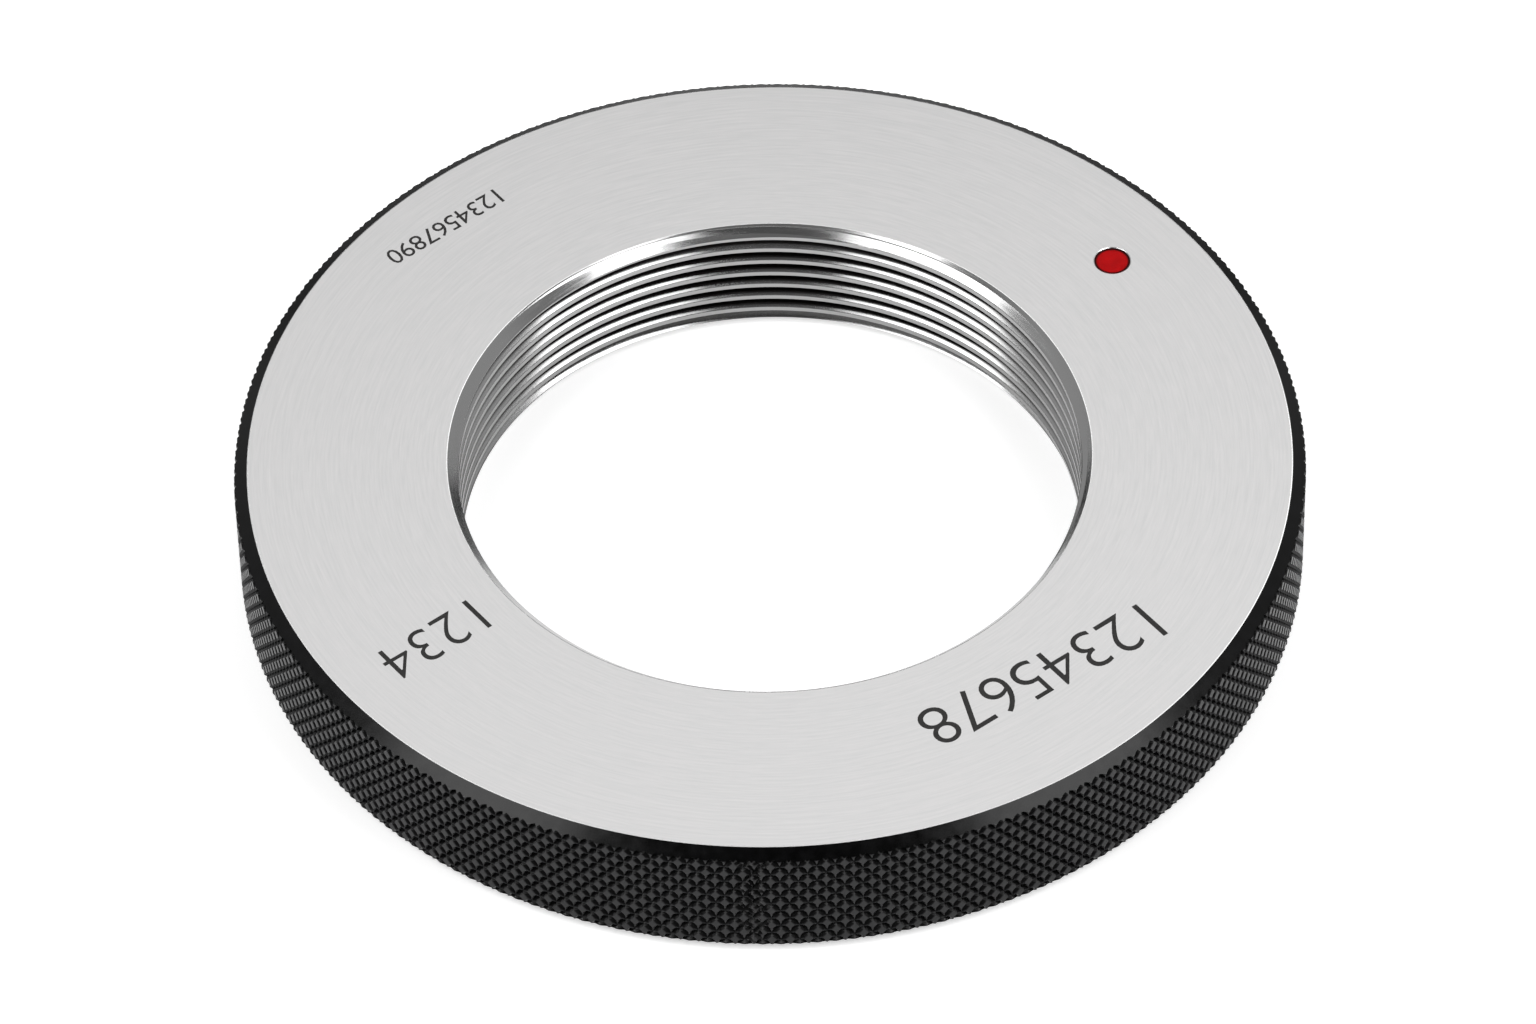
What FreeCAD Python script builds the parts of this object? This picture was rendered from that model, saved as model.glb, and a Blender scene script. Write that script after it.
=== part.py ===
import FreeCAD, Part
import math
import os

import Sketcher

# Thread ring gauge: one turned, hardened and ground steel ring with a right-hand internal thread,
# a diamond-knurled rim and a round recess in the marked face, filled with red enamel.
# Frame: origin at the centre of the lower face, +Z up along the bore, millimetres and degrees.

SIZES = (
    # the ring
    ("outer_diameter", 125),
    ("thickness", 16),
    ("rim_chamfer_width", 1.6),
    ("rim_chamfer_height", 1.0),
    # the thread, of the metric 60 degree form
    ("thread_diameter", 75),
    ("thread_pitch", 2),
    ("thread_start_angle", 153),
    ("bore_mouth_diameter", 75.2),
    # the knurl: the distance between grooves, their angle to the axis, and their depth
    ("knurl_pitch", 1.6),
    ("knurl_lean", 40),
    ("knurl_depth", 0.45),
    # the recess, its place on the face, and the enamel in it
    ("mark_diameter", 4.3),
    ("mark_depth", 0.5),
    ("mark_centre_radius", 51),
    ("mark_centre_angle", 36),
    ("enamel_thickness", 0.35),
)

# What follows from the sizes, as expressions.
# A 60 degree thread is sqrt(3) / 2 pitches high from point to point. Its crest stands 5 / 8 of that inside
# the nominal diameter, and the groove is 1 / 8 of a pitch wide at its root.
RIM = "sizes.outer_diameter / 2"
FACE_RIM = RIM + " - sizes.rim_chamfer_width"
MOUTH = "sizes.bore_mouth_diameter / 2"
CREST = "sizes.thread_diameter / 2 - 5 / 16 * sqrt(3) * sizes.thread_pitch"
BORE_CHAMFER = "(" + MOUTH + " - (" + CREST + "))"
# The tool that cuts the groove reaches a tenth of a pitch inside the crests, so that it clears the bore.
TOOL_INNER = CREST + " - sizes.thread_pitch / 10"
TOOL_ROOT = "sizes.thread_diameter / 2"
TOOL_ROOT_HALF = "sizes.thread_pitch / 16"
TOOL_INNER_HALF = TOOL_ROOT_HALF + " + (" + TOOL_ROOT + " - (" + TOOL_INNER + ")) / sqrt(3)"
MARK_X = "sizes.mark_centre_radius * cos(sizes.mark_centre_angle * 1 deg)"
MARK_Y = "sizes.mark_centre_radius * sin(sizes.mark_centre_angle * 1 deg)"


def make_sizes(doc):
    """The spreadsheet of driving dimensions: a name and a plain number in each row."""
    sheet = doc.addObject("Spreadsheet::Sheet", "sizes")
    for row, (alias, value) in enumerate(SIZES, start=1):
        sheet.set("A%d" % row, alias)
        sheet.set("B%d" % row, str(value))
        sheet.setAlias("B%d" % row, alias)
    doc.recompute()
    return sheet


def sketch_on(body, role, name):
    """A sketch on one of the body's own origin planes."""
    plane = next(item for item in body.Origin.OriginFeatures if item.Role == role)
    sketch = body.newObject("Sketcher::SketchObject", name)
    sketch.AttachmentSupport = (plane, [""])
    sketch.MapMode = "FlatFace"
    return sketch


def bind(sketch, kind, where, expression):
    """A distance from the sketch's origin to a point, driven by an expression. Zero lies on the axis."""
    if expression == "0":
        sketch.addConstraint(Sketcher.Constraint("PointOnObject", *where, -1))
        return
    value = float(sketch.evalExpression(expression))
    index = sketch.addConstraint(Sketcher.Constraint(kind, -1, 1, *where, value))
    sketch.setExpression("Constraints[%d]" % index, expression)


def draw_outline(sketch, corners):
    """A closed outline of straight lines. Each corner is given by two expressions, across and up."""
    points = [
        FreeCAD.Vector(float(sketch.evalExpression(across)), float(sketch.evalExpression(up)), 0)
        for across, up in corners
    ]
    count = len(points)
    for i in range(count):
        sketch.addGeometry(Part.LineSegment(points[i], points[(i + 1) % count]), False)
    for i in range(count):
        sketch.addConstraint(Sketcher.Constraint("Coincident", i, 2, (i + 1) % count, 1))
    for i, (across, up) in enumerate(corners):
        bind(sketch, "DistanceX", (i, 1), across)
        bind(sketch, "DistanceY", (i, 1), up)


def make_turned_ring(doc):
    """The ring as it leaves the lathe and the thread grinder, with the recess for the mark."""
    body = doc.addObject("PartDesign::Body", "turned_ring")

    section = sketch_on(body, "XZ_Plane", "ring_section")
    draw_outline(section, (
        (MOUTH, "0"),
        (FACE_RIM, "0"),
        (RIM, "sizes.rim_chamfer_height"),
        (RIM, "sizes.thickness - sizes.rim_chamfer_height"),
        (FACE_RIM, "sizes.thickness"),
        (MOUTH, "sizes.thickness"),
        (CREST, "sizes.thickness - " + BORE_CHAMFER),
        (CREST, BORE_CHAMFER),
    ))
    turned = body.newObject("PartDesign::Revolution", "turned_section")
    turned.Profile = section
    turned.ReferenceAxis = (section, ["V_Axis"])
    turned.Angle = 360

    # The thread groove starts a pitch below the lower face and runs out a pitch above the upper one.
    profile = sketch_on(body, "XZ_Plane", "thread_profile")
    profile.AttachmentOffset = FreeCAD.Placement(FreeCAD.Vector(), FreeCAD.Rotation(FreeCAD.Vector(0, 1, 0), 0))
    profile.setExpression("AttachmentOffset.Rotation.Angle", "sizes.thread_start_angle")
    draw_outline(profile, (
        (TOOL_INNER, "-sizes.thread_pitch - (" + TOOL_INNER_HALF + ")"),
        (TOOL_ROOT, "-sizes.thread_pitch - (" + TOOL_ROOT_HALF + ")"),
        (TOOL_ROOT, "-sizes.thread_pitch + " + TOOL_ROOT_HALF),
        (TOOL_INNER, "-sizes.thread_pitch + " + TOOL_INNER_HALF),
    ))
    doc.recompute()
    thread = body.newObject("PartDesign::SubtractiveHelix", "thread_groove")
    thread.Profile = profile
    thread.ReferenceAxis = (profile, ["V_Axis"])
    thread.Mode = "pitch-height-angle"
    thread.setExpression("Pitch", "sizes.thread_pitch")
    thread.setExpression("Height", "sizes.thickness + 2 * sizes.thread_pitch")
    doc.recompute()

    disc = sketch_on(body, "XY_Plane", "recess_circle")
    disc.setExpression("AttachmentOffset.Base.z", "sizes.thickness")
    draw_mark_circle(disc)
    recess = body.newObject("PartDesign::Pocket", "mark_recess")
    recess.Profile = disc
    recess.setExpression("Length", "sizes.mark_depth")
    return body


def draw_mark_circle(sketch):
    """The outline of the round mark, at its place on the face."""
    centre = FreeCAD.Vector(float(sketch.evalExpression(MARK_X)), float(sketch.evalExpression(MARK_Y)), 0)
    diameter = float(sketch.evalExpression("sizes.mark_diameter"))
    sketch.addGeometry(Part.Circle(centre, FreeCAD.Vector(0, 0, 1), diameter / 2), False)
    bind(sketch, "DistanceX", (0, 3), MARK_X)
    bind(sketch, "DistanceY", (0, 3), MARK_Y)
    index = sketch.addConstraint(Sketcher.Constraint("Diameter", 0, diameter))
    sketch.setExpression("Constraints[%d]" % index, "sizes.mark_diameter")


def knurled_solid(sheet):
    """A drum whose wall is a diamond knurl, a little taller than the ring.

    Two families of grooves lean one way and the other, and cut the wall into diamonds. On a grid of half
    diamonds every second point is a tip, at the full radius, and the others are groove crossings, one depth
    further in. Each cell of the grid folds along the groove that joins its two crossings.
    """
    radius = sheet.outer_diameter / 2
    lean = math.radians(sheet.knurl_lean)
    around = 2 * round(2 * math.pi * radius * math.cos(lean) / sheet.knurl_pitch)
    rise = sheet.knurl_pitch / math.sin(lean) / 2
    rows = 2 * math.ceil(sheet.thickness / rise / 2)
    low = (sheet.thickness - rows * rise) / 2

    points = {}
    for row in range(rows + 1):
        for column in range(around):
            reach = radius if (row + column) % 2 else radius - sheet.knurl_depth
            turn = 2 * math.pi * column / around
            points[column, row] = FreeCAD.Vector(reach * math.cos(turn), reach * math.sin(turn), low + row * rise)
    vertices = {key: Part.Vertex(point) for key, point in points.items()}
    edges = {}

    def loop(*keys):
        """The closed wire through some grid points, in order, with edges shared between neighbours."""
        pairs = list(zip(keys, keys[1:] + keys[:1]))
        for start, end in pairs:
            if (start, end) not in edges:
                edges[start, end] = Part.Edge(vertices[start], vertices[end])
                edges[end, start] = edges[start, end].reversed()
        return Part.Wire([edges[pair] for pair in pairs])

    faces = []
    for row in range(rows):
        for column in range(around):
            after = (column + 1) % around
            a, b, c, d = (column, row), (after, row), (after, row + 1), (column, row + 1)
            halves = ((a, b, d), (b, c, d)) if (row + column) % 2 else ((a, b, c), (a, c, d))
            for corners in halves:
                plane = Part.Plane(*(points[key] for key in corners))
                faces.append(Part.Face(plane, loop(*corners)))
    faces.append(Part.Face(loop(*((column, 0) for column in reversed(range(around))))))
    faces.append(Part.Face(loop(*((column, rows) for column in range(around)))))
    return Part.Solid(Part.Shell(faces))


def make_gauge_ring(doc):
    """The finished ring: what the turned ring and the knurled drum have in common."""
    turned = make_turned_ring(doc)
    drum = doc.addObject("Part::Feature", "knurled_drum")
    drum.Shape = knurled_solid(doc.sizes)
    drum.Placement = FreeCAD.Placement()
    ring = doc.addObject("Part::Common", "gauge_ring")
    ring.Base = turned
    ring.Tool = drum
    ring.Refine = False
    ring.Label = "gauge_ring"
    ring.Placement = FreeCAD.Placement()
    return ring


def make_red_mark(doc):
    """The enamel in the recess. It fills the floor wall to wall and ends a little below the face."""
    body = doc.addObject("PartDesign::Body", "red_mark")
    disc = sketch_on(body, "XY_Plane", "enamel_circle")
    disc.setExpression("AttachmentOffset.Base.z", "sizes.thickness - sizes.mark_depth")
    draw_mark_circle(disc)
    enamel = body.newObject("PartDesign::Pad", "enamel_fill")
    enamel.Profile = disc
    enamel.setExpression("Length", "sizes.enamel_thickness")
    body.Label = "red_mark"
    body.Placement = FreeCAD.Placement()
    return body


def check(doc, nodes):
    """Stop if any object failed to compute or any node is not one sound solid."""
    for item in doc.Objects:
        if "Invalid" in item.State or "Error" in item.State:
            raise RuntimeError("%s did not compute: %s" % (item.Name, item.State))
    for node in nodes:
        if node.Shape.isNull() or not node.Shape.isValid() or len(node.Shape.Solids) != 1:
            raise RuntimeError("%s is not one valid solid" % node.Label)


def main():
    doc = FreeCAD.newDocument("thread_ring_gauge")
    make_sizes(doc)
    nodes = [make_gauge_ring(doc), make_red_mark(doc)]
    doc.recompute()
    check(doc, nodes)
    os.makedirs("parts", exist_ok=True)
    for node in nodes:
        node.Shape.exportStep("parts/%s.step" % node.Label)
        print(node.Label, "volume", round(node.Shape.Volume, 3), "faces", len(node.Shape.Faces))


main()
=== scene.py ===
import math

import bpy
import numpy as np
from mathutils import Matrix, Vector
from mathutils.geometry import delaunay_2d_cdt


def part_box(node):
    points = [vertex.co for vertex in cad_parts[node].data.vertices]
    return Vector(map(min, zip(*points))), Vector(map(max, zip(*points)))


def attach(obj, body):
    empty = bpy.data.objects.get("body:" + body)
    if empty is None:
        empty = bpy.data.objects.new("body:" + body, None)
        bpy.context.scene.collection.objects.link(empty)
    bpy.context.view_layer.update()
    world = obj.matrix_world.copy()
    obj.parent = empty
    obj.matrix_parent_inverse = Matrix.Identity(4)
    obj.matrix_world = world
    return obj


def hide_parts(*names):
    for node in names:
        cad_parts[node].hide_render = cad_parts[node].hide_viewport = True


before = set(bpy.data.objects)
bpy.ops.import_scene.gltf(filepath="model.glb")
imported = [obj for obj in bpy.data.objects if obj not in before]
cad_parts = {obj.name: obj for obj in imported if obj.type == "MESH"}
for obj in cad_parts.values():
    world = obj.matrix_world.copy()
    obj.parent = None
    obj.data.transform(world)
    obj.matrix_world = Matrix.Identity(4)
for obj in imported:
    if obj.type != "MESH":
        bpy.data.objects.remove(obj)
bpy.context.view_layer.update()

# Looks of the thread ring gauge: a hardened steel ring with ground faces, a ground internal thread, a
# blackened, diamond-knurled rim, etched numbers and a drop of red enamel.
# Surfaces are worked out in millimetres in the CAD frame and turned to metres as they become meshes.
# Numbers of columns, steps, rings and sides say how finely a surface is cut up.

MM = 0.001

# The ring: the radius of the rim, and the width and height of the rim's chamfers.
RIM = 62.5
THICKNESS = 16.0
RIM_CHAMFER = (1.6, 1.0)

# The bore: the radii of its mouth, and of the thread's root and crest. The thread is right-handed, of the
# metric 60 degree form, and its groove crosses the plane of the lower face at an angle in degrees.
MOUTH = 37.6
THREAD_ROOT = 37.5
THREAD_PITCH = 2.0
THREAD_START = 153.0
CREST = THREAD_ROOT - 5 / 16 * math.sqrt(3) * THREAD_PITCH
BORE_CHAMFER = MOUTH - CREST
BORE_COLUMNS = 376

# The groove's section: how far from its middle it bends, and the radius that it reaches there. Between
# the flat root and the crest's broken edge its flanks stand at 60 degrees to the axis.
ROOT_HALF, FLANK_HALF, CREST_HALF = 0.07, 0.66, 0.72
CREST_EDGE = 0.052
GROOVE_HALF = np.array((-CREST_HALF, -FLANK_HALF, -ROOT_HALF, ROOT_HALF, FLANK_HALF, CREST_HALF))
GROOVE_RADIUS = np.array((CREST, CREST + CREST_EDGE, THREAD_ROOT, THREAD_ROOT, CREST + CREST_EDGE, CREST))

# The other broken edges: how far each reaches over the flat face, and into the chamfer or the wall.
MOUTH_EDGE = (0.07, 0.02)
RIM_EDGE = (0.08, 0.03)
RECESS_EDGE = (0.1, 0.05)

# The knurl: V grooves that lean both ways and leave rows of diamonds. A groove is shallowest where it
# crosses another, at a share of its full depth, and its half width is a share of a diamond.
KNURL_PITCH = 1.6
KNURL_LEAN = math.radians(40)
KNURL_DEPTH = 0.45
KNURL_SHALLOW = 0.12
KNURL_HALF = 0.26
KNURL_STEPS = 8
DIAMONDS = round(2 * math.pi * RIM * math.cos(KNURL_LEAN) / KNURL_PITCH)
KNURL_ROWS = 7
KNURL_RISE = KNURL_PITCH / math.sin(KNURL_LEAN)
KNURL_LOW = THICKNESS / 2 - KNURL_ROWS / 2 * KNURL_RISE

# The strip where the rolling stopped and the wheels tracked twice. The second track lies a share of a
# diamond round and up from the first.
LAP_ANGLE = math.radians(267.2)
LAP_HALF = math.radians(1.0)
LAP_SHIFT = (0.375, 0.25)

# The round mark, taken from its CAD node. The enamel stands a hair off the wall, sags in the middle and
# climbs the wall.
MARK_LOW, MARK_HIGH = (np.array(corner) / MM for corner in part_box("red_mark"))
MARK_CENTRE = (MARK_LOW + MARK_HIGH) / 2
MARK_RADIUS = (MARK_HIGH - MARK_LOW)[0] / 2
MARK_FLOOR = MARK_LOW[2]
MARK_COLUMNS = 96
ENAMEL_RINGS = 25
ENAMEL_GAP = 0.004
ENAMEL_SAG = 0.02
ENAMEL_CLIMB = 0.1

# The etched numbers: the numerals, the centres of the first and the last, the height, the steps in each
# curve of an outline, and how far the strokes grow, as a share of the type size. All are read in one
# direction. Triangles of a smaller area, in square millimetres, are left out.
READING = math.radians(217)
NUMERAL_SLIVER = 5e-7
NUMBERS = (
    ("12345678", (43.05, -27.93), (18.55, -43.24), 5.8, 6, -0.011),
    ("1234", (-34.0, -24.5), (-42.9, -31.5), 5.1, 6, -0.011),
    ("1234567890", (-31.84, 43.38), (-44.02, 33.56), 2.5, 3, 0.0),
)

# The sheet under the ring. Reflections see it grow dark between two distances from the centre.
SHEET_RADIUS = 3000.0
SHEET_LEVEL = -0.02
SHEET_SIDES = 64
SHEET_DARKENS = (85.0, 110.0)

# The shares that make up the world's level, each over a direction's y or z: its two bounds, and the share
# at each of them.
WORLD_RANGES = {
    "behind": ("Y", -0.25, 0.15, 0.5, 1.0),
    "low": ("Z", 0.72, 0.9, 0.46, 0.04),
    "rear": ("Y", 0.78, 0.92, 1.0, 0.25),
    "above": ("Z", 0.94, 0.97, 0.0, 0.1),
}

# The lights, in metres: place, the direction of the width, width, height and radiance.
SOFTBOXES = {
    "right_softbox": ((0.68, -0.28, 0.95), (-0.15, 1, 0), 0.92, 0.46, 4.5),
    "left_softbox": ((-0.68, -0.28, 0.95), (0.15, 1, 0), 0.92, 0.46, 4.5),
    "right_overhead": ((0.38, -0.14, 1.13), (1, 0, 0), 0.26, 0.2, 3.6),
    "left_overhead": ((-0.38, -0.14, 1.13), (1, 0, 0), 0.26, 0.2, 3.6),
    "back_softbox": ((0.16, 0.78, 1.15), (1, 0, 0), 1.3, 0.8, 1.3),
}

# The camera: its lens and sensor in millimetres, its distance in metres from a point on the upper face,
# and its angles above the horizon and about its own axis.
LENS, SENSOR = 211.6, 36.0
AIM = (-0.343, -9.581, 16.0)
DISTANCE = 1.0457
ELEVATION = math.radians(46.916)
ROLL = math.radians(-1.371)

# What each patch of the ring is made of.
FACE, RIM_BLACK, BORE, ETCHED, EDGE, RECESS = range(6)


def polar(radius, turn, height):
    """Points at a radius, an angle and a height: x = r cos a, y = r sin a, z = h."""
    radius, turn, height = np.broadcast_arrays(radius, turn, height)
    return np.stack((radius * np.cos(turn), radius * np.sin(turn), height), axis=-1)


def grid_triangles(columns, rows, split=None):
    """Two triangles for each cell of a grid of points stored column by column.

    A cell's corners are a = (i, j), b = (i + 1, j), c = (i + 1, j + 1) and d = (i, j + 1). It is cut from
    a to c, or from b to d where split is true, and its corners turn left as seen from outside.
    """
    i, j = np.meshgrid(np.arange(columns - 1), np.arange(rows - 1), indexing="ij")
    a = i * rows + j
    b, c, d = a + rows, a + rows + 1, a + 1
    split = np.zeros(a.shape, bool) if split is None else split
    one = np.where(split[..., None], np.stack((a, b, d), -1), np.stack((a, b, c), -1))
    two = np.where(split[..., None], np.stack((b, c, d), -1), np.stack((a, c, d), -1))
    return np.concatenate((one, two), axis=2).reshape(-1, 3)


class Patches:
    """Collects patches of points and triangles, each with its finish, into one closed skin."""

    def __init__(self):
        self.points, self.triangles, self.finish = [], [], []
        self.count = 0

    def add(self, points, triangles, finish):
        """Adds a patch. Its finish is one for the whole patch, or one for each triangle."""
        points = np.asarray(points, float).reshape(-1, 3)
        self.points.append(points)
        self.triangles.append(triangles + self.count)
        self.finish.append(np.broadcast_to(finish, len(triangles)))
        self.count += len(points)

    def mesh(self, name):
        """Points that share a place become one, and triangles that lose a side to that are left out."""
        points = np.concatenate(self.points)
        triangles = np.concatenate(self.triangles)
        finish = np.concatenate(self.finish)
        _, kept, place = np.unique(np.round(points, 4), axis=0, return_index=True, return_inverse=True)
        triangles = place.reshape(-1)[triangles]
        a, b, c = triangles.T
        whole = (a != b) & (b != c) & (c != a)
        return mesh_from(name, points[kept], triangles[whole], finish[whole])


def mesh_from(name, points, triangles, finish):
    """A mesh of triangles from points in millimetres, each with its finish as its material's number.

    The flat faces are shaded flat, and the rest smooth but for edges that turn over 12 degrees.
    """
    mesh = bpy.data.meshes.new(name)
    mesh.vertices.add(len(points))
    mesh.vertices.foreach_set("co", (points * MM).ravel())
    mesh.loops.add(triangles.size)
    mesh.loops.foreach_set("vertex_index", triangles.ravel())
    mesh.polygons.add(len(triangles))
    mesh.polygons.foreach_set("loop_start", np.arange(len(triangles)) * 3)
    mesh.polygons.foreach_set("loop_total", np.full(len(triangles), 3))
    mesh.polygons.foreach_set("material_index", finish)
    mesh.update(calc_edges=True)
    mesh.validate()
    mesh.shade_smooth()
    mesh.set_sharp_from_angle(angle=math.radians(12))
    mesh.polygons.foreach_set("use_smooth", ~np.isin(finish, (FACE, ETCHED)))
    return mesh


def add_piece(mesh, node, materials):
    """A piece that rides on the part's one body, stands for a CAD node and takes its look from a slot."""
    piece = bpy.data.objects.new(mesh.name, mesh)
    bpy.context.scene.collection.objects.link(piece)
    for material in materials:
        mesh.materials.append(material)
    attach(piece, "root")
    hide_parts(node)


# The bore.

def groove_middle(turn):
    """The height of the groove's middle at an angle: it climbs one pitch a turn, to the right hand."""
    return THREAD_PITCH * (turn / (2 * math.pi) - THREAD_START / 360)


def groove_reach(turn, height):
    """The radius that the groove reaches: its section, as a function of the distance from its middle."""
    away = height - groove_middle(turn) + THREAD_PITCH / 2
    away = np.abs(away % THREAD_PITCH - THREAD_PITCH / 2)
    return np.interp(away, GROOVE_HALF[3:], GROOVE_RADIUS[3:])


def bore_patches(ring):
    """The thread, its crests and both mouths, as a surface over angle and height.

    At each angle the wall is the outer one of two outlines: the turned bore with its 45 degree mouths,
    and the groove. Its rows are all the heights where either outline bends or the two cross, in order, so
    that every edge of the thread and of its run-out is an edge of the mesh. Two loops come back: the
    upper mouth and the lower one.
    """
    over, down = MOUTH_EDGE
    bends = np.array((0, down, BORE_CHAMFER, THICKNESS - BORE_CHAMFER, THICKNESS - down, THICKNESS))
    reach = np.array((MOUTH + over, MOUTH - down, CREST, CREST, MOUTH - down, MOUTH + over))
    turn = np.linspace(0, 2 * math.pi, BORE_COLUMNS + 1)
    # The turns of the groove that can reach the ring from below its lower face to above its upper one.
    passes = np.arange(-3, 11)
    corners = (groove_middle(turn)[:, None] + THREAD_PITCH * passes)[:, :, None] + GROOVE_HALF

    # Each stretch of the groove's section, r = r0 + m (z - z0), meets each mouth's cone,
    # r = crest + s (z - z1), where s is 1 above and -1 below.
    z0, r0 = corners[:, :, :-1], GROOVE_RADIUS[:-1]
    slope = np.diff(GROOVE_RADIUS) / np.diff(GROOVE_HALF)
    met = [
        np.clip((r0 - slope * z0 - CREST + side * z1) / (side - slope), z0, corners[:, :, 1:])
        for side, z1 in ((1, THICKNESS - BORE_CHAMFER), (-1, BORE_CHAMFER))
    ]
    rows = [each.reshape(len(turn), -1) for each in (corners, *met)]
    rows.append(np.broadcast_to(bends, (len(turn), len(bends))))
    height = np.sort(np.clip(np.concatenate(rows, axis=1), 0, THICKNESS), axis=1)
    wall = np.maximum(np.interp(height, bends, reach), groove_reach(turn[:, None], height))

    # The last column lies on the first.
    points = polar(wall, np.append(turn[:-1], 0)[:, None], height)
    triangles = grid_triangles(len(turn), height.shape[1])[:, ::-1]
    # A triangle of the broken edge has its middle a third or two thirds of the way across it.
    middle = height.reshape(-1)[triangles].mean(1)
    broken = np.minimum(middle, THICKNESS - middle) < 0.75 * down
    ring.add(points, triangles, np.where(broken, EDGE, BORE))
    return points[:-1, -1], points[:-1, 0]


# The rim.

def tracked_depth(turn, height):
    """How deep one track of the knurl is cut: the deeper of two families of V grooves.

    u and v count the grooves of each family. A groove is deepest halfway between its crossings with the
    other family and shallow at them, so each flat top becomes a four-pointed star between leaf-shaped
    cuts. Its depth is D (s + (1 - s) |sin pi v| - |u - nearest groove| / w), and never less than 0. With
    the depth comes where the first family is the deeper one.
    """
    around = turn * DIAMONDS / (2 * math.pi)
    along = (height - KNURL_LOW) / KNURL_RISE
    families = (around + along, around - along)
    first, second = (
        KNURL_DEPTH * (
            KNURL_SHALLOW + (1 - KNURL_SHALLOW) * np.abs(np.sin(math.pi * other))
            - np.abs(own - np.round(own)) / KNURL_HALF
        )
        for own, other in (families, families[::-1])
    )
    return np.maximum(np.maximum(first, second), 0), first > second


def knurl_depth(turn, height):
    """The knurl with the strip where the wheels tracked twice: there the deeper track counts.

    The strip's half width is LAP_HALF (1 + 0.6 sin 1.9 z), and the second track is
    0.6 + 0.35 sin (2.7 z + 1) times as deep as the first. Both waves keep the strip irregular.
    """
    depth, first_family = tracked_depth(turn, height)
    turn_on, height_on = turn + LAP_SHIFT[0] * 2 * math.pi / DIAMONDS, height + LAP_SHIFT[1] * KNURL_RISE
    again, family_again = tracked_depth(turn_on, height_on)
    again = again * (0.6 + 0.35 * np.sin(2.7 * height + 1))
    away = np.abs((turn - LAP_ANGLE + math.pi) % (2 * math.pi) - math.pi)
    deeper = (away < LAP_HALF * (1 + 0.6 * np.sin(1.9 * height))) & (again > depth)
    return np.where(deeper, again, depth), np.where(deeper, family_again, first_family)


def rim_patches(ring):
    """The knurled wall and both chamfers, as a surface over angle and height.

    The wall's rows follow the crossings of the knurl. Each column ends where the chamfer's cone,
    r = rim - w / h (z - z1), cuts the knurl, at z = z1 + depth h / w, found by repeating that rule a
    dozen times. Two loops come back: the edge of the upper face and that of the lower one.
    """
    columns = DIAMONDS * KNURL_STEPS
    turn = np.arange(columns + 1) * 2 * math.pi / columns
    wide, high = RIM_CHAMFER
    top = np.full(turn.shape, THICKNESS - high)
    bottom = np.full(turn.shape, high)
    for _ in range(12):
        top = THICKNESS - high + knurl_depth(turn, top)[0] * high / wide
        bottom = high - knurl_depth(turn, bottom)[0] * high / wide
    levels = KNURL_LOW + np.arange(KNURL_ROWS * KNURL_STEPS + 1) * KNURL_RISE / KNURL_STEPS
    levels = levels[(levels > bottom.min()) & (levels < top.max())]
    height = np.clip(levels, bottom[:, None], top[:, None])
    height = np.concatenate((bottom[:, None], height, top[:, None]), axis=1)
    depth = knurl_depth(turn[:, None], height)[0]
    # The last column lies on the first.
    turn[-1] = 0
    points = polar(RIM - depth, turn[:, None], height)

    # A cell is folded along the groove that rules it.
    middle = (height[:-1, :-1] + height[1:, 1:]) / 2
    half = turn[:-1, None] + math.pi / columns
    rising = knurl_depth(half, middle)[1]
    ring.add(points, grid_triangles(columns + 1, height.shape[1], split=rising), RIM_BLACK)

    # The broken edge between chamfer and face is a short slope, and belongs to the ground face.
    over, down = RIM_EDGE
    inner = RIM - wide
    loops = []
    for edge, level, side in ((points[:, -1], THICKNESS, 1), (points[:, 0], 0.0, -1)):
        cone_end = polar(inner + down, turn, level - side * down * high / wide)
        face_edge = polar(inner - over, turn, level)
        for start, end, finish in ((edge, cone_end, RIM_BLACK), (cone_end, face_edge, EDGE)):
            triangles = grid_triangles(columns + 1, 2)
            ring.add(np.stack((start, end), axis=1), triangles[:, ::side], finish)
        loops.append(face_edge[:-1])
    return loops


# The faces.

def numeral_shape(numeral, tall, steps, growth):
    """A numeral as flat triangles that turn left, centred and scaled to its height."""
    curve = bpy.data.curves.new("numeral", "FONT")
    curve.body = numeral
    curve.resolution_u = steps
    curve.offset = growth
    shown = bpy.data.objects.new("numeral", curve)
    mesh = bpy.data.meshes.new_from_object(shown)
    points = np.zeros(len(mesh.vertices) * 3)
    mesh.vertices.foreach_get("co", points)
    points = points.reshape(-1, 3)[:, :2]
    points -= (points.min(0) + points.max(0)) / 2
    points *= tall / np.ptp(points[:, 1])
    mesh.calc_loop_triangles()
    triangles = np.zeros(len(mesh.loop_triangles) * 3, int)
    mesh.loop_triangles.foreach_get("vertices", triangles)
    triangles = triangles.reshape(-1, 3)
    a, b, c = (points[triangles[:, k]] for k in range(3))
    area = np.cross(b - a, c - a) / 2
    triangles[area < 0] = triangles[area < 0][:, ::-1]
    bpy.data.objects.remove(shown)
    bpy.data.meshes.remove(mesh)
    bpy.data.curves.remove(curve)
    return points, triangles[np.abs(area) > NUMERAL_SLIVER]


def number_shapes():
    """The numbers as flat triangles, with the centres of their numerals spaced evenly on straight lines.

    Each numeral is turned to the reading angle and moved to its place.
    """
    cosine, sine = math.cos(READING), math.sin(READING)
    points, triangles, count = [], [], 0
    for numerals, start, end, tall, steps, growth in NUMBERS:
        for numeral, centre in zip(numerals, np.linspace(start, end, len(numerals))):
            flat, corners = numeral_shape(numeral, tall, steps, growth)
            points.append(flat @ np.array(((cosine, sine), (-sine, cosine))) + centre)
            triangles.append(corners + count)
            count += len(flat)
    return np.concatenate(points), np.concatenate(triangles)


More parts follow.
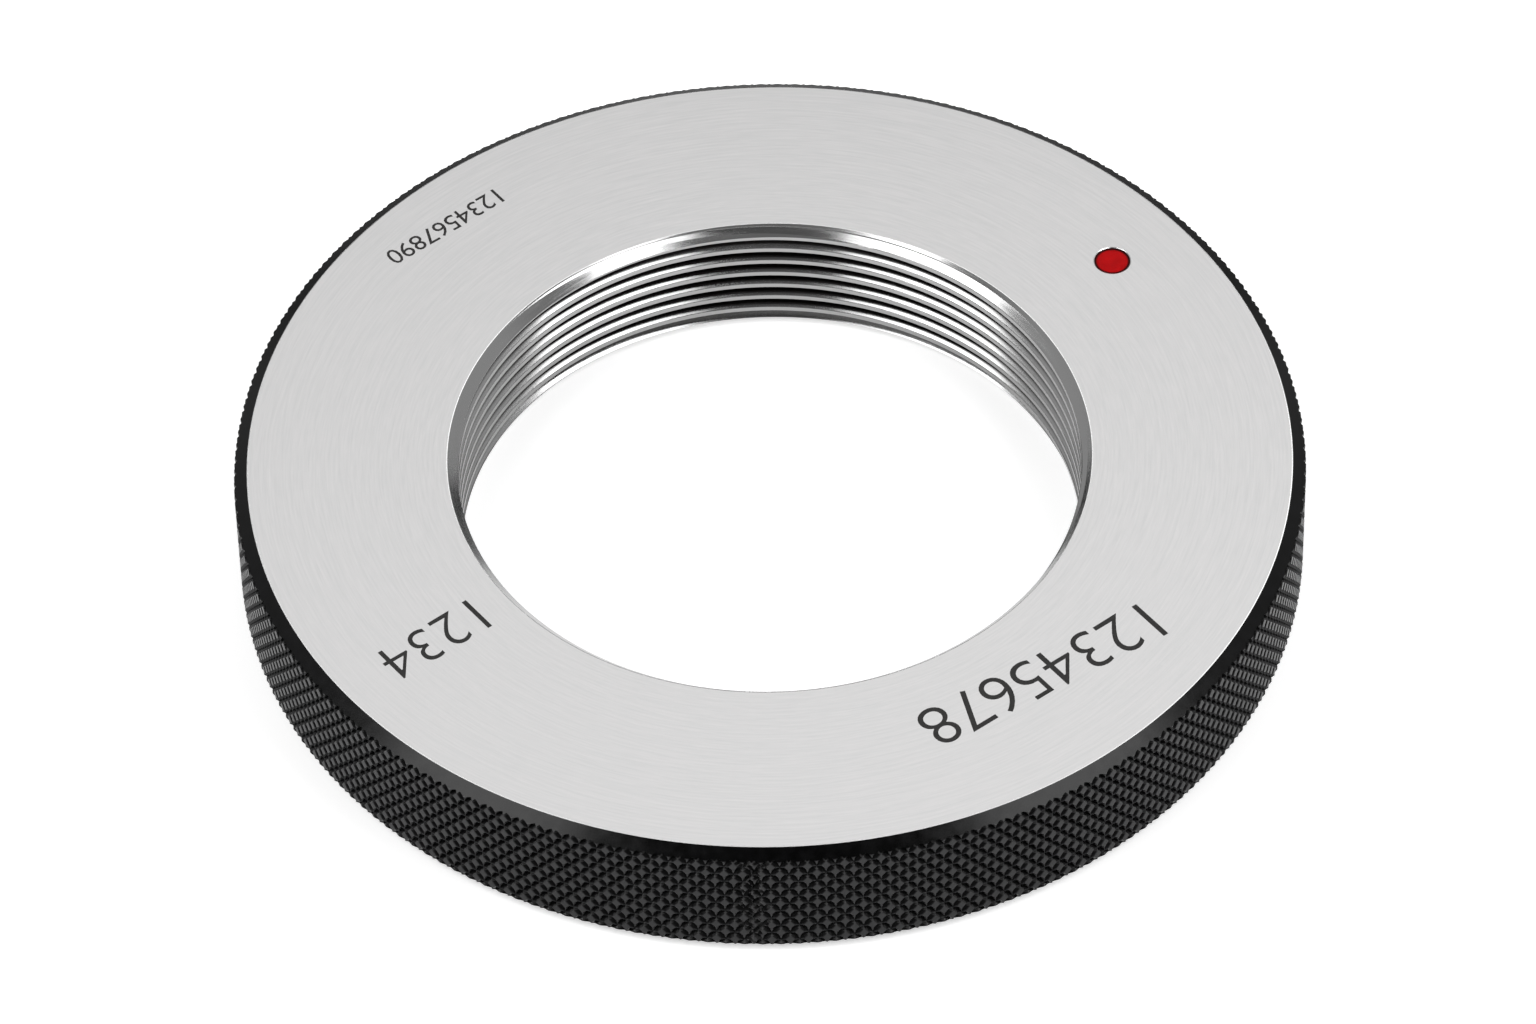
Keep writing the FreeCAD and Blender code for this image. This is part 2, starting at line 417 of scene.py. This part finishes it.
def face_patch(ring, outer, inner, upper):
    """A flat face between two loops of points, cut into triangles that keep every outline on it.

    The face is what lies inside the outer loop and outside the inner one and, on the upper face, outside
    the recess. Triangles inside a numeral take the etched finish.
    """
    level = THICKNESS if upper else 0.0
    loops = [outer[:, :2], inner[:, :2]]
    if upper:
        loops.append(recess_circle(level, MARK_RADIUS + RECESS_EDGE[0])[:, :2])
    starts = np.cumsum([0] + [len(loop) for loop in loops])
    outlines = [np.arange(len(loop)) + start for loop, start in zip(loops, starts)]
    holes = set(range(1, len(loops)))
    if upper:
        number_points, number_triangles = number_shapes()
        outlines += list(number_triangles + starts[-1])
        loops.append(number_points)
    points = np.concatenate(loops)
    vertices, _, faces, given, _, within = delaunay_2d_cdt(
        [Vector(point) for point in points.tolist()], [], [each.tolist() for each in outlines], 0, 1e-5
    )
    # Each triangle comes with the outlines that it lies within. The first is the outer loop, the holes are
    # next, and numerals are last.
    kept = [(face, max(held)) for face, held in zip(faces, within) if 0 in held and not holes & set(held)]
    triangles = np.array([face for face, _ in kept])
    finish = np.array([ETCHED if last > max(holes) else FACE for _, last in kept])

    # Points that were given keep their exact places, so that they meet the patches beside the face.
    flat = np.array([tuple(vertex) for vertex in vertices])
    known = np.array([sources[0] if sources else -1 for sources in given])
    flat[known >= 0] = points[known[known >= 0]]
    flat = np.column_stack((flat, np.full(len(flat), level)))
    ring.add(flat, triangles if upper else triangles[:, ::-1], finish)


def recess_circle(level, radius):
    """A circle of points round the recess's axis, at a height."""
    turn = np.arange(MARK_COLUMNS) * 2 * math.pi / MARK_COLUMNS
    return polar(radius, turn, level) + (MARK_CENTRE[0], MARK_CENTRE[1], 0)


def recess_patches(ring):
    """The recess: a fan round the centre of its floor, a cylinder, and a cone for its broken edge."""
    over, down = RECESS_EDGE
    levels = (MARK_FLOOR, MARK_FLOOR, THICKNESS - down, THICKNESS)
    radii = (0, MARK_RADIUS, MARK_RADIUS, MARK_RADIUS + over)
    circles = [recess_circle(level, radius) for level, radius in zip(levels, radii)]
    circles = [np.concatenate((circle, circle[:1])) for circle in circles]
    for low, high, finish in zip(circles, circles[1:], (RECESS, RECESS, EDGE)):
        ring.add(np.stack((low, high), axis=1), grid_triangles(MARK_COLUMNS + 1, 2)[:, ::-1], finish)


def enamel_mesh():
    """The enamel: a disc, turned about its axis, whose top sags and climbs the wall of its recess.

    The top is h(r) = level - sag + climb (r / R)^6, with rings at r = R i^0.7, closer towards the wall.
    """
    radius = MARK_RADIUS - ENAMEL_GAP
    across = np.linspace(0, 1, ENAMEL_RINGS) ** 0.7
    top = MARK_HIGH[2] - ENAMEL_SAG + ENAMEL_CLIMB * across ** 6
    reach = np.concatenate((across * radius, (radius, 0)))
    height = np.concatenate((top, (MARK_FLOOR, MARK_FLOOR)))
    turn = np.linspace(0, 2 * math.pi, MARK_COLUMNS + 1)
    # The last column lies on the first.
    turn[-1] = 0
    points = polar(reach, turn[:, None], height) + (MARK_CENTRE[0], MARK_CENTRE[1], 0)
    # Its one material is number 0, and is shaded flat.
    skin = Patches()
    skin.add(points, grid_triangles(MARK_COLUMNS + 1, len(reach))[:, ::-1], 0)
    return skin.mesh("enamel_drop")


# The materials.

def colour(code):
    """An sRGB hex colour as linear light, with full opacity."""
    parts = [int(code[k:k + 2], 16) / 255 for k in (1, 3, 5)]
    return [p / 12.92 if p <= 0.04045 else ((p + 0.055) / 1.055) ** 2.4 for p in parts] + [1.0]


def add(tree, kind, inputs=(), **settings):
    """Adds a node with its settings. An input that is a socket is linked, and any other is set."""
    made = tree.nodes.new(kind)
    for name, value in settings.items():
        setattr(made, name, value)
    for name, value in dict(inputs).items():
        if isinstance(value, bpy.types.NodeSocket):
            tree.links.new(value, made.inputs[name])
        else:
            made.inputs[name].default_value = value
    return made


def new_material(name):
    """A new material, its node tree, and the tree's first value: a point's place in the CAD frame."""
    material = bpy.data.materials.new(name)
    material.use_nodes = True
    tree = material.node_tree
    tree.nodes.clear()
    return material, tree, add(tree, "ShaderNodeTexCoord").outputs["Object"]


def axis_distance(tree, place, centre=(0, 0, 0)):
    """How far a place lies from the upright axis through a centre: the length of (x - cx, y - cy, 0)."""
    away = add(tree, "ShaderNodeVectorMath", {0: place, 1: centre}, operation="SUBTRACT").outputs[0]
    away = add(tree, "ShaderNodeVectorMath", {0: away, 1: (1, 1, 0)}, operation="MULTIPLY").outputs[0]
    return add(tree, "ShaderNodeVectorMath", {0: away}, operation="LENGTH").outputs["Value"]


def ring_coordinates(tree, place, along, across):
    """Coordinates for streaks that run round the axis: (x / r, y / r) times along, and r times across."""
    flat = add(tree, "ShaderNodeVectorMath", {0: place, 1: (1, 1, 0)}, operation="MULTIPLY").outputs[0]
    way = add(tree, "ShaderNodeVectorMath", {0: flat}, operation="NORMALIZE").outputs[0]
    way = add(tree, "ShaderNodeVectorMath", {0: way, "Scale": along}, operation="SCALE").outputs[0]
    far = axis_distance(tree, place)
    far = add(tree, "ShaderNodeMath", {0: far, 1: across}, operation="MULTIPLY").outputs[0]
    far = add(tree, "ShaderNodeCombineXYZ", {"Z": far}).outputs[0]
    return add(tree, "ShaderNodeVectorMath", {0: way, 1: far}, operation="ADD").outputs[0]


def mottled(tree, pattern, colours, roughness):
    """A colour and a roughness that both follow a noise pattern as it climbs from 0.3 to 0.7."""
    shares = [
        add(tree, "ShaderNodeMapRange", {
            "Value": pattern, "From Min": 0.3, "From Max": 0.7, "To Min": low, "To Max": high,
        }).outputs[0]
        for low, high in ((0.0, 1.0), roughness)
    ]
    tone = add(tree, "ShaderNodeMix", {
        "Factor": shares[0], "A": colour(colours[0]), "B": colour(colours[1]),
    }, data_type="RGBA")
    return tone.outputs[2], shares[1]


def ground_steel():
    """Tool steel, hardened and face-ground on a turning table: pale, satin, with lines round the axis.

    The real lines are about 0.15 mm apart, finer than the picture. They are drawn twice as coarse, 3.3 to
    the millimetre, and clouds of 4 mm break their evenness.
    """
    material, tree, place = new_material("face_ground_tool_steel")
    lines = add(tree, "ShaderNodeTexNoise", {
        "Vector": ring_coordinates(tree, place, 9.0, 3.3 / MM),
        "Scale": 1.0, "Detail": 3.0, "Roughness": 0.6,
    }).outputs["Fac"]
    cloud = add(tree, "ShaderNodeTexNoise", {
        "Vector": place, "Scale": 0.26 / MM, "Detail": 4.0,
    }).outputs["Fac"]
    mixed = add(tree, "ShaderNodeMix", {"Factor": 0.2, 2: lines, 3: cloud}).outputs[0]
    tone, rough = mottled(tree, mixed, ("#BFBFBF", "#CECDCD"), (0.34, 0.4))
    bump = add(tree, "ShaderNodeBump", {"Height": lines, "Strength": 0.15, "Distance": 0.01 * MM})
    shader = add(tree, "ShaderNodeBsdfPrincipled", {
        "Base Color": tone, "Metallic": 1.0, "Roughness": rough, "Normal": bump.outputs[0],
    })
    add(tree, "ShaderNodeOutputMaterial", {"Surface": shader.outputs[0]})
    return material


def edge_steel():
    """The edges of the face, broken with a fine stone: brighter and smoother than it, in 1 mm patches."""
    material, tree, place = new_material("stoned_tool_steel_edge")
    grain = add(tree, "ShaderNodeTexNoise", {
        "Vector": place, "Scale": 0.9 / MM, "Detail": 2.0,
    }).outputs["Fac"]
    tone, rough = mottled(tree, grain, ("#DCDCDC", "#F0F0F0"), (0.2, 0.28))
    shader = add(tree, "ShaderNodeBsdfPrincipled", {
        "Base Color": tone, "Metallic": 1.0, "Roughness": rough,
    })
    add(tree, "ShaderNodeOutputMaterial", {"Surface": shader.outputs[0]})
    return material


def thread_steel():
    """The same steel, thread-ground and lapped: smoother than the face, with lines along the groove.

    The lines are 7 mm long and 30 times finer up the bore. Painted shade darkens the groove's root and the
    flanks that face down, but neither mouth.
    """
    material, tree, place = new_material("thread_ground_tool_steel")
    stretched = add(tree, "ShaderNodeMapping", {"Vector": place, "Scale": (1, 1, 30)}).outputs[0]
    lines = add(tree, "ShaderNodeTexNoise", {
        "Vector": stretched, "Scale": 0.15 / MM, "Detail": 3.0,
    }).outputs["Fac"]
    bump = add(tree, "ShaderNodeBump", {"Height": lines, "Strength": 0.1, "Distance": 0.01 * MM})
    # Painted shade: the groove's root and the flanks that face down turn near-black, fading out towards
    # both mouths.
    root = add(tree, "ShaderNodeMapRange", {
        "Value": axis_distance(tree, place), "From Min": 36.6 * MM, "From Max": 37.05 * MM,
        "To Min": 0.0, "To Max": 0.96,
    }, interpolation_type="SMOOTHSTEP").outputs[0]
    normal = add(tree, "ShaderNodeNewGeometry").outputs["Normal"]
    under = add(tree, "ShaderNodeMapRange", {
        "Value": add(tree, "ShaderNodeSeparateXYZ", {0: normal}).outputs["Z"],
        "From Min": -0.5, "From Max": -0.3, "To Min": 0.96, "To Max": 0.0,
    }).outputs[0]
    height = add(tree, "ShaderNodeSeparateXYZ", {0: place}).outputs["Z"]
    off = add(tree, "ShaderNodeMath", {0: height, 1: THICKNESS / 2 * MM}, operation="SUBTRACT").outputs[0]
    inside = add(tree, "ShaderNodeMapRange", {
        "Value": add(tree, "ShaderNodeMath", {0: off}, operation="ABSOLUTE").outputs[0],
        "From Min": 5.5 * MM, "From Max": 6.7 * MM, "To Min": 1.0, "To Max": 0.0,
    }).outputs[0]
    painted_groove_shade = add(tree, "ShaderNodeMath", {0: root, 1: under}, operation="MAXIMUM").outputs[0]
    painted_groove_shade = add(tree, "ShaderNodeMath", {0: painted_groove_shade, 1: inside}, operation="MULTIPLY").outputs[0]
    tone = add(tree, "ShaderNodeMix", {
        "Factor": painted_groove_shade, "A": colour("#B4B4B4"), "B": colour("#1C1918"),
    }, data_type="RGBA")
    rough = add(tree, "ShaderNodeMapRange", {
        "Value": lines, "From Min": 0.3, "From Max": 0.7, "To Min": 0.13, "To Max": 0.22,
    }).outputs[0]
    shader = add(tree, "ShaderNodeBsdfPrincipled", {
        "Base Color": tone.outputs[2], "Metallic": 1.0, "Roughness": rough, "Normal": bump.outputs[0],
    })
    add(tree, "ShaderNodeOutputMaterial", {"Surface": shader.outputs[0]})
    return material


def black_oxide():
    """Steel blackened in a hot salt bath and oiled: near-black, satin, rubbed grey on the knurl's tips.

    Its clouds are 1.4 mm wide, and the grey fades within 0.12 mm of the tips.
    """
    material, tree, place = new_material("oiled_black_oxide_steel")
    cloud = add(tree, "ShaderNodeTexNoise", {
        "Vector": place, "Scale": 0.7 / MM, "Detail": 5.0,
    }).outputs["Fac"]
    tone, rough = mottled(tree, cloud, ("#030303", "#080809"), (0.16, 0.24))
    worn = add(tree, "ShaderNodeMapRange", {
        "Value": axis_distance(tree, place), "From Min": (RIM - 0.12) * MM, "From Max": RIM * MM,
        "To Min": 0.0, "To Max": 1.0,
    }).outputs[0]
    tone = add(tree, "ShaderNodeMix", {
        "Factor": worn, "A": tone, "B": colour("#363637"),
    }, data_type="RGBA")
    bump = add(tree, "ShaderNodeBump", {"Height": cloud, "Strength": 0.1, "Distance": 0.02 * MM})
    shader = add(tree, "ShaderNodeBsdfPrincipled", {
        "Base Color": tone.outputs[2], "Metallic": 0.0, "IOR": 1.5, "Roughness": rough,
        "Normal": bump.outputs[0], "Specular IOR Level": 0.22,
    })
    add(tree, "ShaderNodeOutputMaterial", {"Surface": shader.outputs[0]})
    return material


def etched_steel():
    """The numbers: electrolytic etching, a matt dark grey bitten into the face, in a grain of 0.4 mm."""
    material, tree, place = new_material("electro_etched_mark")
    grain = add(tree, "ShaderNodeTexNoise", {
        "Vector": place, "Scale": 2.5 / MM, "Detail": 3.0,
    }).outputs["Fac"]
    tone, rough = mottled(tree, grain, ("#1C1B1B", "#2E2D2C"), (0.5, 0.65))
    shader = add(tree, "ShaderNodeBsdfPrincipled", {
        "Base Color": tone, "Metallic": 0.0, "Roughness": rough, "Specular IOR Level": 0.3,
    })
    add(tree, "ShaderNodeOutputMaterial", {"Surface": shader.outputs[0]})
    return material


def red_enamel():
    """Signal red enamel, filled by hand and dried to an even satin, with a faint waviness of about 1 mm.

    Painted shade darkens the seam between the enamel and the wall of its recess.
    """
    material, tree, place = new_material("filled_red_enamel")
    cloud = add(tree, "ShaderNodeTexNoise", {
        "Vector": place, "Scale": 0.9 / MM, "Detail": 2.0,
    }).outputs["Fac"]
    tone, rough = mottled(tree, cloud, ("#A00509", "#B20A0E"), (0.3, 0.4))
    centre = (MARK_CENTRE[0] * MM, MARK_CENTRE[1] * MM, 0)
    # Painted shade: the enamel darkens to near-black, starting 0.4 mm in from the wall of its recess.
    painted_seam_shade = add(tree, "ShaderNodeMapRange", {
        "Value": axis_distance(tree, place, centre),
        "From Min": (MARK_RADIUS - 0.4) * MM, "From Max": (MARK_RADIUS - 0.2) * MM,
        "To Min": 0.0, "To Max": 0.95,
    }).outputs[0]
    tone = add(tree, "ShaderNodeMix", {
        "Factor": painted_seam_shade, "A": tone, "B": colour("#140303"),
    }, data_type="RGBA")
    bump = add(tree, "ShaderNodeBump", {"Height": cloud, "Strength": 0.2, "Distance": 0.03 * MM})
    shader = add(tree, "ShaderNodeBsdfPrincipled", {
        "Base Color": tone.outputs[2], "Roughness": rough, "Normal": bump.outputs[0],
        "Specular IOR Level": 0.04,
    })
    add(tree, "ShaderNodeOutputMaterial", {"Surface": shader.outputs[0]})
    return material


def white_sheet():
    """Matt paper with a glow that keeps it white to the camera and is half as strong in reflections.

    Reflections show it as white only near the ring.
    """
    material, tree, place = new_material("white_sheet")
    path = add(tree, "ShaderNodeLightPath").outputs
    seen = add(tree, "ShaderNodeMath", {
        0: path["Is Glossy Ray"], 1: 0.5, 2: path["Is Camera Ray"],
    }, operation="MULTIPLY_ADD").outputs[0]
    seen = add(tree, "ShaderNodeMath", {
        0: seen, 1: path["Is Transmission Ray"],
    }, operation="MAXIMUM").outputs[0]
    near, far = SHEET_DARKENS
    away = add(tree, "ShaderNodeMapRange", {
        "Value": add(tree, "ShaderNodeVectorMath", {0: place}, operation="LENGTH").outputs["Value"],
        "From Min": near * MM, "From Max": far * MM, "To Min": 0.0, "To Max": 0.85,
    }).outputs[0]
    away = add(tree, "ShaderNodeMath", {
        0: away, 1: path["Is Glossy Ray"],
    }, operation="MULTIPLY").outputs[0]
    tone = add(tree, "ShaderNodeMix", {
        "Factor": away, "A": colour("#E4E4E4"), "B": colour("#404040"),
    }, data_type="RGBA")
    paper = add(tree, "ShaderNodeBsdfDiffuse", {"Color": tone.outputs[2]}).outputs[0]
    kept = add(tree, "ShaderNodeMath", {0: 1.0, 1: away}, operation="SUBTRACT").outputs[0]
    seen = add(tree, "ShaderNodeMath", {0: seen, 1: kept}, operation="MULTIPLY").outputs[0]
    glow = add(tree, "ShaderNodeEmission", {"Color": (1, 1, 1, 1), "Strength": 0.56}).outputs[0]
    lit = add(tree, "ShaderNodeAddShader", {0: paper, 1: glow}).outputs[0]
    mixed = add(tree, "ShaderNodeMixShader", {0: seen, 1: paper, 2: lit}).outputs[0]
    add(tree, "ShaderNodeOutputMaterial", {"Surface": mixed})
    return material


# The scene.

def floor():
    """A round sheet, cut into a fan, a hair below the ring so that the two surfaces stay apart."""
    turn = np.linspace(0, 2 * math.pi, SHEET_SIDES, endpoint=False)
    points = np.concatenate((polar(SHEET_RADIUS, turn, SHEET_LEVEL), ((0, 0, SHEET_LEVEL),)))
    i = np.arange(SHEET_SIDES)
    triangles = np.stack((i, (i + 1) % SHEET_SIDES, np.full(SHEET_SIDES, SHEET_SIDES)), axis=1)
    mesh = mesh_from("floor", points, triangles, np.zeros(SHEET_SIDES, int))
    mesh.materials.append(white_sheet())
    sheet = bpy.data.objects.new("floor", mesh)
    bpy.context.scene.collection.objects.link(sheet)


def studio():
    """The world: dark at the front, overhead and straight behind, and lighter low down at the sides.

    Its level is behind times low times rear, plus above, and the camera sees it white.
    """
    world = bpy.data.worlds.new("studio")
    bpy.context.scene.world = world
    world.use_nodes = True
    tree = world.node_tree
    tree.nodes.clear()
    way = add(tree, "ShaderNodeTexCoord").outputs["Generated"]
    way = add(tree, "ShaderNodeSeparateXYZ", {0: way}).outputs
    share = {
        name: add(tree, "ShaderNodeMapRange", {
            "Value": way[axis], "From Min": start, "From Max": end, "To Min": first, "To Max": last,
        }, interpolation_type="SMOOTHSTEP").outputs[0]
        for name, (axis, start, end, first, last) in WORLD_RANGES.items()
    }
    low = add(tree, "ShaderNodeMath", {
        0: share["low"], 1: share["rear"],
    }, operation="MULTIPLY").outputs[0]
    level = add(tree, "ShaderNodeMath", {
        0: share["behind"], 1: low, 2: share["above"],
    }, operation="MULTIPLY_ADD").outputs[0]
    seen = add(tree, "ShaderNodeLightPath").outputs["Is Camera Ray"]
    strength = add(tree, "ShaderNodeMix", {"Factor": seen, 2: level, 3: 1.0}).outputs[0]
    light = add(tree, "ShaderNodeBackground", {"Color": (1, 1, 1, 1), "Strength": strength})
    add(tree, "ShaderNodeOutputWorld", {"Surface": light.outputs[0]})


def softbox(name, place, along, wide, high, radiance):
    """A rectangular soft light that faces the ring, with its width along a direction.

    Its power is radiance times pi times its area.
    """
    lamp = bpy.data.lights.new(name, "AREA")
    lamp.shape = "RECTANGLE"
    lamp.size, lamp.size_y = wide, high
    lamp.energy = radiance * math.pi * wide * high
    light = bpy.data.objects.new(name, lamp)
    out = Vector(place).normalized()
    side = (Vector(along) - out * out.dot(Vector(along))).normalized()
    turned = Matrix((side, out.cross(side), out)).transposed().to_4x4()
    light.matrix_world = Matrix.Translation(place) @ turned
    bpy.context.scene.collection.objects.link(light)


def camera():
    """A long lens that looks down on the ring from the front, rolled a little."""
    data = bpy.data.cameras.new("camera")
    data.sensor_width = SENSOR
    data.lens = LENS
    data.clip_start, data.clip_end = 0.05, 20.0
    back = Vector((0, -math.cos(ELEVATION), math.sin(ELEVATION)))
    right = Vector((1, 0, 0))
    up = back.cross(right)
    across = right * math.cos(ROLL) + up * math.sin(ROLL)
    upward = up * math.cos(ROLL) - right * math.sin(ROLL)
    turned = Matrix((across, upward, back)).transposed().to_4x4()
    eye = bpy.data.objects.new("camera", data)
    eye.matrix_world = Matrix.Translation(Vector(AIM) * MM + back * DISTANCE) @ turned
    bpy.context.scene.collection.objects.link(eye)
    bpy.context.scene.camera = eye


def main():
    ring = Patches()
    top_mouth, bottom_mouth = bore_patches(ring)
    top_edge, bottom_edge = rim_patches(ring)
    face_patch(ring, top_edge, top_mouth, upper=True)
    face_patch(ring, bottom_edge, bottom_mouth, upper=False)
    recess_patches(ring)
    steel = ground_steel()
    add_piece(ring.mesh("dressed_gauge_ring"), "gauge_ring", [
        steel, black_oxide(), thread_steel(), etched_steel(), edge_steel(), steel,
    ])
    add_piece(enamel_mesh(), "red_mark", [red_enamel()])

    floor()
    studio()
    for name, settings in SOFTBOXES.items():
        softbox(name, *settings)
    camera()
    bpy.context.scene.view_settings.view_transform = "Standard"


main()
